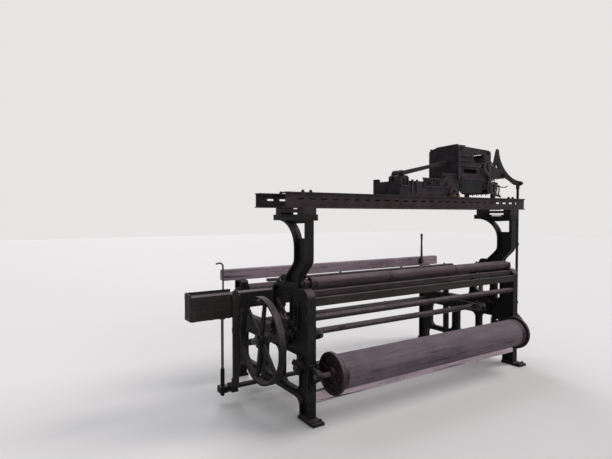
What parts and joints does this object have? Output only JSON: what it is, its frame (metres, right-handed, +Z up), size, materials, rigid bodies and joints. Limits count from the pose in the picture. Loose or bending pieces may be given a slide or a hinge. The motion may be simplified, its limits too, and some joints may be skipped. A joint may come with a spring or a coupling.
{
  "type": "power loom",
  "caption": "Wide power loom with an overhead dobby, cast arch posts, a sley with shuttle boxes, crankshaft, handwheel, warp beam and rollers, standing on two side frames.",
  "frame": {"origin": "on the floor under the middle of the loom's box", "axes": "+X along the loom to its right as seen from the warp side, +Y from the warp side to the weaver's side, +Z up"},
  "size_m": [3.8, 1.4998, 2.164],
  "materials": {
    "dark_cast_iron": "dark oily cast iron under dust",
    "dusty_rolled_iron": "rusty rolled iron, dull mauve-brown with dust on top",
    "worn_steel": "turned steel gone dull and stained",
    "brown_timber": "old oiled timber, brown and dry",
    "pale_timber": "bare timber greyed by dust",
    "rawhide": "stiff dark hide"
  },
  "bodies": {
    "frame": {"left_side_frame": "dark_cast_iron", "right_side_frame": "dark_cast_iron", "left_front_frame": "dark_cast_iron", "right_front_frame": "dark_cast_iron", "left_arch_post": "dark_cast_iron", "right_arch_post": "dark_cast_iron", "rail_packings": "dusty_rolled_iron", "near_top_rail": "dusty_rolled_iron", "far_top_rail": "dusty_rolled_iron", "breast_beam": "pale_timber", "back_angle_rail": "dusty_rolled_iron", "back_board_rail": "brown_timber", "back_tube": "dusty_rolled_iron", "back_foot_rail": "pale_timber", "front_foot_rail": "brown_timber", "frame_bolts": "dusty_rolled_iron", "rail_bolts": "dusty_rolled_iron", "beam_brackets": "dark_cast_iron", "handle_stud": "dark_cast_iron", "dobby_bed": "dark_cast_iron", "dobby_end_frame": "dark_cast_iron", "jack_shaft": "worn_steel"},
    "crank": {"crankshaft": "worn_steel", "handwheel": "dark_cast_iron", "crank_pinion": "dark_cast_iron"},
    "connecting_arms": {"left_connecting_arm": "dark_cast_iron", "right_connecting_arm": "dark_cast_iron"},
    "bottom_shaft_set": {"bottom_shaft": "worn_steel", "bottom_shaft_gear": "dark_cast_iron", "picking_tappets": "dark_cast_iron", "rod_crank": "dark_cast_iron"},
    "sley": {"rocking_shaft": "dark_cast_iron", "left_sword": "dark_cast_iron", "right_sword": "dark_cast_iron", "sley_beam": "brown_timber", "race_board": "brown_timber", "sley_cap": "brown_timber", "sley_cap_brackets": "dark_cast_iron", "drop_box_guide": "dark_cast_iron", "right_shuttle_box": "brown_timber"},
    "drop_box_set": {"drop_box": "brown_timber", "drop_box_rod": "worn_steel"},
    "left_stick": {"left_picking_stick": "pale_timber", "left_picker": "rawhide"},
    "right_stick": {"right_picking_stick": "pale_timber", "right_picker": "rawhide"},
    "back_rest": {"back_rest_roller": "brown_timber"},
    "warp_beam_set": {"warp_beam": "brown_timber", "warp_beam_flanges": "dusty_rolled_iron"},
    "take_up": {"take_up_roller": "dusty_rolled_iron", "take_up_gear": "dark_cast_iron"},
    "ratchet": {"take_up_ratchet": "dark_cast_iron"},
    "cloth_roller_set": {"cloth_roller": "brown_timber"},
    "handle": {"starting_handle": "dusty_rolled_iron"},
    "raised_jack_set": {"raised_jacks": "dusty_rolled_iron"},
    "lowered_jack_set": {"lowered_jacks": "dusty_rolled_iron"},
    "cylinder": {"pattern_cylinder": "brown_timber"},
    "lever": {"lever_arm": "dusty_rolled_iron"},
    "horn": {"horn_arm": "dark_cast_iron"},
    "connecting_rod": {"drive_rod": "dusty_rolled_iron"}
  },
  "joints": [
    {"name": "crank_spin", "type": "hinge", "parent": "frame", "child": "crank", "pos_m": [0, -0.19, 0.557], "axis": [1, 0, 0], "continuous": true},
    {"name": "arm_pivot", "type": "hinge", "parent": "crank", "child": "connecting_arms", "pos_m": [0, -0.265, 0.557], "axis": [1, 0, 0], "continuous": true},
    {"name": "bottom_shaft_spin", "type": "hinge", "parent": "frame", "child": "bottom_shaft_set", "pos_m": [0, -0.38, 0.36404], "axis": [1, 0, 0], "continuous": true},
    {"name": "sley_swing", "type": "hinge", "parent": "frame", "child": "sley", "pos_m": [0, 0.21, 0.095], "axis": [-1, 0, 0], "range_deg": [0, 12]},
    {"name": "drop_box_lift", "type": "slide", "parent": "sley", "child": "drop_box_set", "axis": [0, 0, 1], "range_m": [0, 0.18]},
    {"name": "left_stick_swing", "type": "hinge", "parent": "sley", "child": "left_stick", "pos_m": [-1.535, 0.1197, 0.165], "axis": [0, -1, 0], "range_deg": [0, 24]},
    {"name": "right_stick_swing", "type": "hinge", "parent": "sley", "child": "right_stick", "pos_m": [1.535, 0.1197, 0.165], "axis": [0, 1, 0], "range_deg": [0, 24]},
    {"name": "back_rest_spin", "type": "hinge", "parent": "frame", "child": "back_rest", "pos_m": [0, -0.424, 1], "axis": [1, 0, 0], "continuous": true},
    {"name": "warp_beam_spin", "type": "hinge", "parent": "frame", "child": "warp_beam_set", "pos_m": [0, -0.595, 0.356], "axis": [1, 0, 0], "continuous": true},
    {"name": "take_up_spin", "type": "hinge", "parent": "frame", "child": "take_up", "pos_m": [0, 0.65, 0.8], "axis": [1, 0, 0], "continuous": true},
    {"name": "ratchet_spin", "type": "hinge", "parent": "frame", "child": "ratchet", "pos_m": [0, 0.65, 0.6792], "axis": [1, 0, 0], "continuous": true},
    {"name": "cloth_roller_spin", "type": "hinge", "parent": "frame", "child": "cloth_roller_set", "pos_m": [0, 0.65, 0.48], "axis": [1, 0, 0], "continuous": true},
    {"name": "starting_handle_swing", "type": "hinge", "parent": "frame", "child": "handle", "pos_m": [1.12, 0.645, 0.95], "axis": [0, 1, 0], "range_deg": [-15, 15]},
    {"name": "raised_jack_rock", "type": "hinge", "parent": "frame", "child": "raised_jack_set", "pos_m": [0.69, -0.315, 1.958], "axis": [0, -1, 0], "range_deg": [0, 10]},
    {"name": "lowered_jack_rock", "type": "hinge", "parent": "frame", "child": "lowered_jack_set", "pos_m": [0.69, -0.315, 1.958], "axis": [0, 1, 0], "range_deg": [0, 10]},
    {"name": "cylinder_spin", "type": "hinge", "parent": "frame", "child": "cylinder", "pos_m": [0.874, -0.315, 1.738], "axis": [0, 1, 0], "continuous": true},
    {"name": "lever_swing", "type": "hinge", "parent": "frame", "child": "lever", "pos_m": [-0.258, -0.38, 1.85], "axis": [0, 1, 0], "range_deg": [-3, 3]},
    {"name": "horn_swing", "type": "hinge", "parent": "frame", "child": "horn", "pos_m": [1.05439, -0.38, 1.896], "axis": [0, -1, 0], "range_deg": [0, 17]},
    {"name": "rod_pivot", "type": "hinge", "parent": "horn", "child": "connecting_rod", "pos_m": [1.49, -0.356, 1.834], "axis": [0, -1, 0], "range_deg": [-17, 0]}
  ],
  "couplings": [
    {"joint": "arm_pivot", "follows": "crank_spin", "ratio": -1},
    {"joint": "bottom_shaft_spin", "follows": "crank_spin", "ratio": -0.5},
    {"joint": "ratchet_spin", "follows": "take_up_spin", "ratio": -2.4286},
    {"joint": "rod_pivot", "follows": "horn_swing", "ratio": -1}
  ]
}
